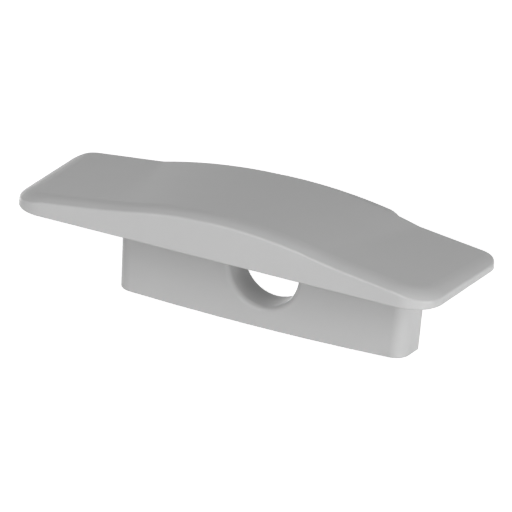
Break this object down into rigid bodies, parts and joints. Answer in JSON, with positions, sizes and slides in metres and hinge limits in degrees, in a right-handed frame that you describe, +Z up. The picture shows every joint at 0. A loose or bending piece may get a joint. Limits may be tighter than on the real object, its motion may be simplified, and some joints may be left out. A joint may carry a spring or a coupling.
{
  "type": "profile end cap",
  "caption": "Moulded end cap for a recessed lighting profile: rounded top flange with an arched crown over a plate with a cable hole.",
  "frame": {"origin": "middle of the flange's flat underside, half way along its length and half way across its depth", "axes": "+X along the flange's length, +Y from its rounded front to its back, where the profile is, +Z up through its crown"},
  "size_m": [0.0244, 0.0099, 0.0078],
  "materials": {
    "body": "satin"
  },
  "bodies": {
    "root": {"end_cap": "body"}
  },
  "joints": []
}
